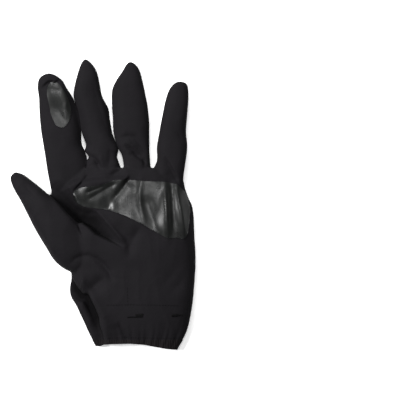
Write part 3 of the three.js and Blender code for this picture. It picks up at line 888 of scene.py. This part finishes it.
band = open_up(cut(copy_of(skin, "elastic_hem"), "INTERSECT", HEM_BAND), [ring_of(HEM_BAND)])
co = points_of(band.data) + normals_of(band.data) * HEM_PROUD * MM
co[:, 2] = np.maximum(co[:, 2], HEM_LEAST)
set_points(band.data, co)
pieces["elastic_hem"] = walled(band, HEM_CLOTH)
print("elastic_hem", len(band.data.polygons), "faces")

# %% [markdown]
# ## Materials
# The cloth is a fine plain weave, matt and nearly black, with a hint of purple. Its tone drifts a little over
# the hand, and it is rubbed paler along the seams. In the deep pockets its colour is painted darker, as
# painted shade. The film is black too, but glossy, with a fine grain and dull patches where it was handled. A
# picture of cloth could be laid over the pieces, but patterns from nodes need no unwrapping and stay sharp.
# They are in millimetres of the object's own space.

# %% Node trees for materials
class Nodes:
    """Short hands for one material's node tree."""

    def __init__(self, name):
        self.material, self.tree, self.shader = node_material(name)
        space = self.add("ShaderNodeTexCoord", {})
        scaled = self.add("ShaderNodeVectorMath", {0: space["Object"], "Scale": 1 / MM}, operation="SCALE")
        self.place = scaled[0]

    def add(self, kind, inputs, **settings):
        return add_node(self.tree, kind, inputs, **settings)

    def finish(self, inputs):
        """Fills the shader's sockets and gives back the material."""
        fill(self.tree, self.shader, inputs)
        return self.material

    def math(self, operation, *values):
        return self.add("ShaderNodeMath", dict(enumerate(values)), operation=operation)[0]

    def axes(self):
        return self.add("ShaderNodeSeparateXYZ", {0: self.place})

    def noise(self, size, detail=2.0, stretch=(1, 1, 1)):
        """Noise from 0 to 1 whose patches are about size millimetres wide."""
        mapped = self.add("ShaderNodeVectorMath", {0: self.place, 1: stretch}, operation="MULTIPLY")
        return self.add("ShaderNodeTexNoise", {"Vector": mapped[0], "Scale": 1 / size, "Detail": detail})[0]

    def ranged(self, value, low, high, to_low, to_high):
        return self.add("ShaderNodeMapRange", {
            "Value": value, "From Min": low, "From Max": high, "To Min": to_low, "To Max": to_high})[0]

    def blend(self, factor, a, b):
        """From colour a at 0 to colour b at 1."""
        a, b = ((*colour, 1) if isinstance(colour, tuple) else colour for colour in (a, b))
        return self.add("ShaderNodeMix", {"Factor": factor, 6: a, 7: b}, data_type="RGBA")[2]

    def attribute(self, name):
        return self.add("ShaderNodeAttribute", {}, attribute_name=name)["Fac"]

    def bump(self, height, depth, under=None):
        """Bump of a height from about 0 to 1 over another one; depth is in metres."""
        inputs = {"Height": height, "Distance": depth, "Strength": 1.0}
        return self.add("ShaderNodeBump", inputs if under is None else {**inputs, "Normal": under})[0]


print("material helper ready")

# %% Cloth
THREAD = 0.42  # millimetres from thread to thread
SLANT = 0.6  # how fast the weave runs on down a side wall
DARKER, LIGHTER = 0.8, 1.22  # the drift of the tone
POCKET_SHADE_SHARE, POCKET_SHADE_TONE = 0.72, 0.1  # how much painted shade darkens the tone in the deep pockets, and what is left of it
RIB_DRIFT = 9  # radians by which the ribs of the hem wander


def cloth_material(name, colour, worn, ribs=None):
    n = Nodes(name)
    x, y, z = n.axes()
    turn = 2 * math.pi / (2 * THREAD)
    slant = n.math("MULTIPLY", z, SLANT)
    across = n.math("SINE", n.math("MULTIPLY", n.math("ADD", x, slant), turn))
    along = n.math("SINE", n.math("MULTIPLY", n.math("ADD", y, slant), turn))
    weave = n.ranged(n.math("MULTIPLY", across, along), -1, 1, 0, 1)
    grain = n.noise(1.3, 3)
    drift = n.noise(34, 3)
    dark, light, painted_shade_tone = (tuple(part * c for c in colour) for part in (DARKER, LIGHTER, POCKET_SHADE_TONE))
    tone = n.blend(n.ranged(drift, 0.3, 0.7, 0.2, 0.8), dark, light)
    tone = n.blend(n.ranged(n.math("MULTIPLY", weave, grain), 0, 0.6, 0, 0.35), tone, worn)
    seam = n.attribute("seam")
    rubbed = n.math("MULTIPLY", seam, n.ranged(n.noise(2.5, 3), 0.45, 0.7, 0, 0.2))
    tone = n.blend(rubbed, tone, worn)
    # painted shade: the colour darkens where the cloth lies deep in a pocket
    tone = n.blend(n.math("MULTIPLY", n.attribute("pocket_shade"), POCKET_SHADE_SHARE), tone, painted_shade_tone)
    normal = n.bump(n.noise(4.5, 3), depth=0.00022)
    normal = n.bump(grain, 0.00006, normal)
    normal = n.bump(weave, 0.00003, normal)
    normal = n.bump(n.math("MULTIPLY", seam, n.noise(2.2, 1)), 0.0001, normal)  # puckers along the seams
    if ribs:
        phase = n.math("MULTIPLY", drift, RIB_DRIFT)
        rib = n.math("SINE", n.math("ADD", n.math("MULTIPLY", x, 2 * math.pi / ribs), phase))
        normal = n.bump(n.ranged(rib, -1, 1, 0, 1), 0.00025, normal)
    return n.finish({
        "Base Color": tone, "Roughness": n.ranged(grain, 0.3, 0.7, 0.62, 0.8), "Specular IOR Level": 0.03,
        "Sheen Weight": 0.01, "Sheen Roughness": 0.5, "Normal": normal})


SHELL_BLACK = (0.0078, 0.0072, 0.0083)
SHELL_WORN = (0.0130, 0.0120, 0.0136)
HEM_BLACK = (0.0082, 0.0070, 0.0073)
HEM_WORN = (0.0140, 0.0116, 0.0116)
shell_fabric = cloth_material("shell_fabric", SHELL_BLACK, SHELL_WORN)
hem_elastic = cloth_material("hem_elastic", HEM_BLACK, HEM_WORN, ribs=2.3)
print("cloth:", shell_fabric.name, hem_elastic.name)

# %% Film
FILM_DARK = (0.0045, 0.0050, 0.0048)
FILM_DULL = (0.0085, 0.0090, 0.0086)


def film_material(name):
    n = Nodes(name)
    grain = n.noise(0.8, 2)
    smear = n.noise(9, 4, (1.0, 0.45, 1.0))
    tone = n.blend(n.ranged(smear, 0.35, 0.65, 0, 1), FILM_DARK, FILM_DULL)
    rough = n.math("ADD", n.ranged(smear, 0.35, 0.7, 0.26, 0.35), n.ranged(grain, 0.4, 0.7, 0, 0.06))
    normal = n.bump(n.noise(7, 2, (1.0, 0.4, 1.0)), depth=0.0001)
    normal = n.bump(grain, 0.00004, normal)
    return n.finish({"Base Color": tone, "Roughness": rough, "Specular IOR Level": 0.28, "Normal": normal})


bonded_film = film_material("bonded_film")
print("film:", bonded_film.name)

# %% [markdown]
# ## Films
# A film is bonded flat to the cloth, so it has the cloth's own shape, but stiffer: it bridges the finest
# creases. A copy of the skin is smoothed and lifted by a hair. A cutter in the shape of the film's outline
# takes the film out of it.

# %% Films from the skin
FILM = 0.3 * MM
FILM_PROUD = 0.35  # millimetres above the cloth
FILM_SMOOTHING = 2  # rounds
FILM_LEVEL = RIM + 1  # the cutter starts here, so that only the palm side is taken
STEPS_PER_GAP = 8


def closed_curve(points):
    """A smooth closed line whose points are evenly spread along its length."""
    points = np.array(points, float)
    wrapped = np.vstack([points[-2:], points, points[:3]])
    line = catmull_rom(wrapped, np.linspace(2, len(points) + 2, len(points) * STEPS_PER_GAP + 1))
    along = np.concatenate([[0], np.cumsum(np.linalg.norm(np.diff(line, axis=0), axis=1))])
    even = np.linspace(0, along[-1], len(line))[:-1]
    return np.column_stack([np.interp(even, along, line[:, i]) for i in range(2)])


def film(name, outline, ground):
    edge = closed_curve(outline).tolist()
    sheet = copy_of(ground, name)
    smoothed(sheet.data, FILM_SMOOTHING)
    set_points(sheet.data, points_of(sheet.data) + normals_of(sheet.data) * FILM_PROUD * MM)
    cut(sheet, "INTERSECT", edge, FILM_LEVEL)
    open_up(sheet, [ring_of(edge)], [FILM_LEVEL])
    print(name, len(sheet.data.polygons), "faces")
    return walled(sheet, FILM)


pieces["palm_film"] = film("palm_film", PALM_FILM, skin)
pieces["fingertip_film"] = film("fingertip_film", FINGERTIP_FILM, skin)

# %% [markdown]
# ## Stitches
# A stitch line is a path in plan above the cloth. Geometry Nodes sets a thread on it at every pitch, drops it
# straight down onto the cloth, turns it along the path and the cloth, and leans every other one the other
# way. With no lean it is a lockstitch; with a steep lean and a short pitch it is a bartack. Threads could be
# copied by hand, but then a new path would mean new work, and here it is one row in a table.

# %% Stitch group
WOBBLE = 0.09  # radians by which a stitch may be turned at random
PROUD = 0.3  # part of a thread's thickness that its middle stands above the cloth


def stitch_group():
    group = bpy.data.node_groups.new("stitches", "GeometryNodeTree")
    kinds = [("Path", "Geometry"), ("Cloth", "Object"), ("Thread", "Material"), ("Pitch", "Float"),
             ("Length", "Float"), ("Thickness", "Float"), ("Lean", "Float"), ("Seed", "Int")]
    for label, kind in kinds:
        group.interface.new_socket(name=label, in_out="INPUT", socket_type="NodeSocket" + kind)
    group.interface.new_socket(name="Stitches", in_out="OUTPUT", socket_type="NodeSocketGeometry")
    start = group.nodes.new("NodeGroupInput").outputs

    def node(kind, inputs, **settings):
        return add_node(group, kind, inputs, **settings)

    def math_of(operation, a, b):
        return node("ShaderNodeMath", {0: a, 1: b}, operation=operation)[0]

    half_thick = math_of("MULTIPLY", start["Thickness"], 0.5)
    half_long = math_of("MULTIPLY", start["Length"], 0.5)
    size = node("ShaderNodeCombineXYZ", {0: half_long, 1: half_thick, 2: half_thick})
    ball = node("GeometryNodeMeshUVSphere", {"Segments": 8, "Rings": 6, "Radius": 1.0})
    thread = node("GeometryNodeTransform", {"Geometry": ball["Mesh"], "Scale": size[0]})
    curve = node("GeometryNodeMeshToCurve", {"Mesh": start["Path"]})
    points = node("GeometryNodeCurveToPoints", {"Curve": curve[0], "Length": start["Pitch"]}, mode="LENGTH")
    cloth = node("GeometryNodeObjectInfo", {"Object": start["Cloth"]}, transform_space="RELATIVE")
    hit = node("GeometryNodeRaycast", {
        "Target Geometry": cloth["Geometry"], "Ray Direction": (0, 0, -1), "Ray Length": 0.2})
    index = node("GeometryNodeInputIndex", {})[0]
    sign = math_of("SUBTRACT", math_of("MULTIPLY", math_of("MODULO", index, 2.0), 2.0), 1.0)
    wobble = node("FunctionNodeRandomValue", {
        2: -WOBBLE, 3: WOBBLE, "Seed": start["Seed"]}, data_type="FLOAT")[1]
    angle = math_of("ADD", math_of("MULTIPLY", start["Lean"], sign), wobble)
    turn = node("FunctionNodeAxisAngleToRotation", {"Axis": (0, 0, 1), "Angle": angle})
    along = node("FunctionNodeAlignRotationToVector", {"Vector": points["Tangent"]}, axis="X")
    upright = node("FunctionNodeAlignRotationToVector", {
        "Rotation": along[0], "Vector": hit["Hit Normal"]}, axis="Z", pivot_axis="X")
    posed = node("FunctionNodeRotateRotation", {
        "Rotation": upright[0], "Rotate By": turn[0]}, rotation_space="LOCAL")
    threads = node("GeometryNodeInstanceOnPoints", {
        "Points": points["Points"], "Selection": hit["Is Hit"], "Instance": thread[0], "Rotation": posed[0]})
    here = node("GeometryNodeInputPosition", {})[0]
    down = node("ShaderNodeVectorMath", {0: hit["Hit Position"], 1: here}, operation="SUBTRACT")[0]
    proud = node("ShaderNodeVectorMath", {
        0: hit["Hit Normal"], "Scale": math_of("MULTIPLY", start["Thickness"], PROUD)}, operation="SCALE")[0]
    shift = node("ShaderNodeVectorMath", {0: down, 1: proud}, operation="ADD")[0]
    laid = node("GeometryNodeTranslateInstances", {
        "Instances": threads[0], "Translation": shift, "Local Space": False})
    real = node("GeometryNodeRealizeInstances", {"Geometry": laid[0]})
    dyed = node("GeometryNodeSetMaterial", {"Geometry": real[0], "Material": start["Thread"]})
    smooth = node("GeometryNodeSetShadeSmooth", {"Geometry": dyed[0]})
    end = group.nodes.new("NodeGroupOutput")
    group.links.new(smooth[0], end.inputs["Stitches"])
    return group


print("stitch group ready")

# %% Thread
PLY = 0.5  # millimetres from twist to twist


def thread_material():
    n = Nodes("sewing_thread")
    x, y, z = n.axes()
    ply = n.math("SINE", n.math("MULTIPLY", n.math("ADD", x, y), 2 * math.pi / PLY))
    fuzz = n.noise(0.3, 2)
    tone = n.blend(fuzz, (0.0012, 0.0011, 0.0012), (0.0040, 0.0037, 0.0041))
    return n.finish({
        "Base Color": tone, "Roughness": n.ranged(fuzz, 0.3, 0.7, 0.45, 0.65), "Specular IOR Level": 0.06,
        "Normal": n.bump(n.ranged(ply, -1, 1, 0, 1), depth=0.00005)})


sewing_thread = thread_material()
print("thread:", sewing_thread.name)

# %% Sewn lines
# They are all sewn through the palm panel. Columns: name, path (x, y), pitch, length and thickness of a
# stitch in millimetres, lean in degrees, and seed.
SEWN = [
    ("casing_stitches", [(4.3, -95.4), (24, -95.0), (48, -95.3), (69.8, -95.9)], 2.7, 2.3, 0.42, 0, 3),
    ("short_stitches", [(23.0, -79.6), (23.4, -94.6)], 2.7, 2.3, 0.36, 0, 4),
    ("left_bartack_tail", [(23.2, -106.9), (31.4, -106.6)], 0.4, 1.6, 0.6, 60, 5),
    ("left_bartack", [(31.2, -105.5), (37.6, -105.2)], 0.3, 4.0, 0.7, 76, 6),
    ("right_bartack", [(64.9, -105.2), (70.6, -105.0)], 0.3, 3.2, 0.7, 76, 7),
    ("right_bartack_tail", [(70.6, -105.2), (76.3, -104.8)], 0.4, 1.6, 0.6, 60, 8),
    ("hem_stitches", [(4, -126.8), (22, -126.4), (44, -126.6), (60, -127), (73, -127)], 2.2, 1.9, 0.4, 0, 9),
]
sewing = stitch_group()
sockets = {item.name: item.identifier for item in sewing.interface.items_tree if item.in_out == "INPUT"}
stitches = []
for name, path, pitch, length, thick, lean, seed in SEWN:
    above = [(x, y, HIGH) for x, y in path]
    line = mesh_object(name, above, edges=[(k, k + 1) for k in range(len(path) - 1)])
    sew = line.modifiers.new("sew", "NODES")
    sew.node_group = sewing
    values = {
        "Cloth": pieces["palm_panel"], "Thread": sewing_thread, "Pitch": pitch * MM, "Length": length * MM,
        "Thickness": thick * MM, "Lean": math.radians(lean), "Seed": seed}
    for label, value in values.items():
        sew[sockets[label]] = value
    stitches.append(baked(line))
    print(name, len(line.data.polygons), "faces")

# %% [markdown]
# ## Dressing the pieces
# Every finished piece rides on the part's one body and takes the place of the plain solid of the same name.
# Two attributes go along with it, because a material can't find them out by itself: how near a point is to a
# seam, where the cloth is rubbed, and how deep it lies in a pocket, where its colour is darkened as painted
# shade.

# %% Attributes, materials and places
SEAM_REACH = 2.2  # millimetres of rubbed cloth beside a seam
POCKET_SHADE_FROM, POCKET_SHADE_TO = 3, 11  # millimetres of depth over which painted shade darkens the cloth
MATERIALS = {"shell_fabric": shell_fabric, "hem_elastic": hem_elastic, "bonded_film": bonded_film}
SLOTS = {"elastic_hem": "hem_elastic", "palm_film": "bonded_film", "fingertip_film": "bonded_film"}


def give(mesh, name, values):
    mesh.attributes.new(name, "FLOAT", "POINT").data.foreach_set("value", values.astype(np.float32))


discard(skin)
discard(middle_skin)
for name, piece in pieces.items():
    slot = SLOTS.get(name, "shell_fabric")
    x, y, z = points_of(piece.data).T / MM
    near = np.min([distance_to(line, x, y) for line in SEAMS], axis=0)
    near = np.minimum(near, np.abs(z - RIM))
    give(piece.data, "seam", np.exp(-((near / SEAM_REACH) ** 2)))
    # painted shade: how far the laps and dives let the cloth down, on the palm side only
    give(piece.data, "pocket_shade", smoothstep(-lowering(x, y), POCKET_SHADE_FROM, POCKET_SHADE_TO) * (z > RIM - BELOW_RIM))
    piece.name = name + ("_sheet" if slot == "bonded_film" else "_cloth")
    piece.data.materials.clear()
    piece.data.materials.append(MATERIALS[slot])
    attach(piece, "root")
    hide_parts(name)
for line in stitches:
    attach(line, "root")
print("dressed:", len(pieces), "pieces and", len(stitches), "lines of stitches")
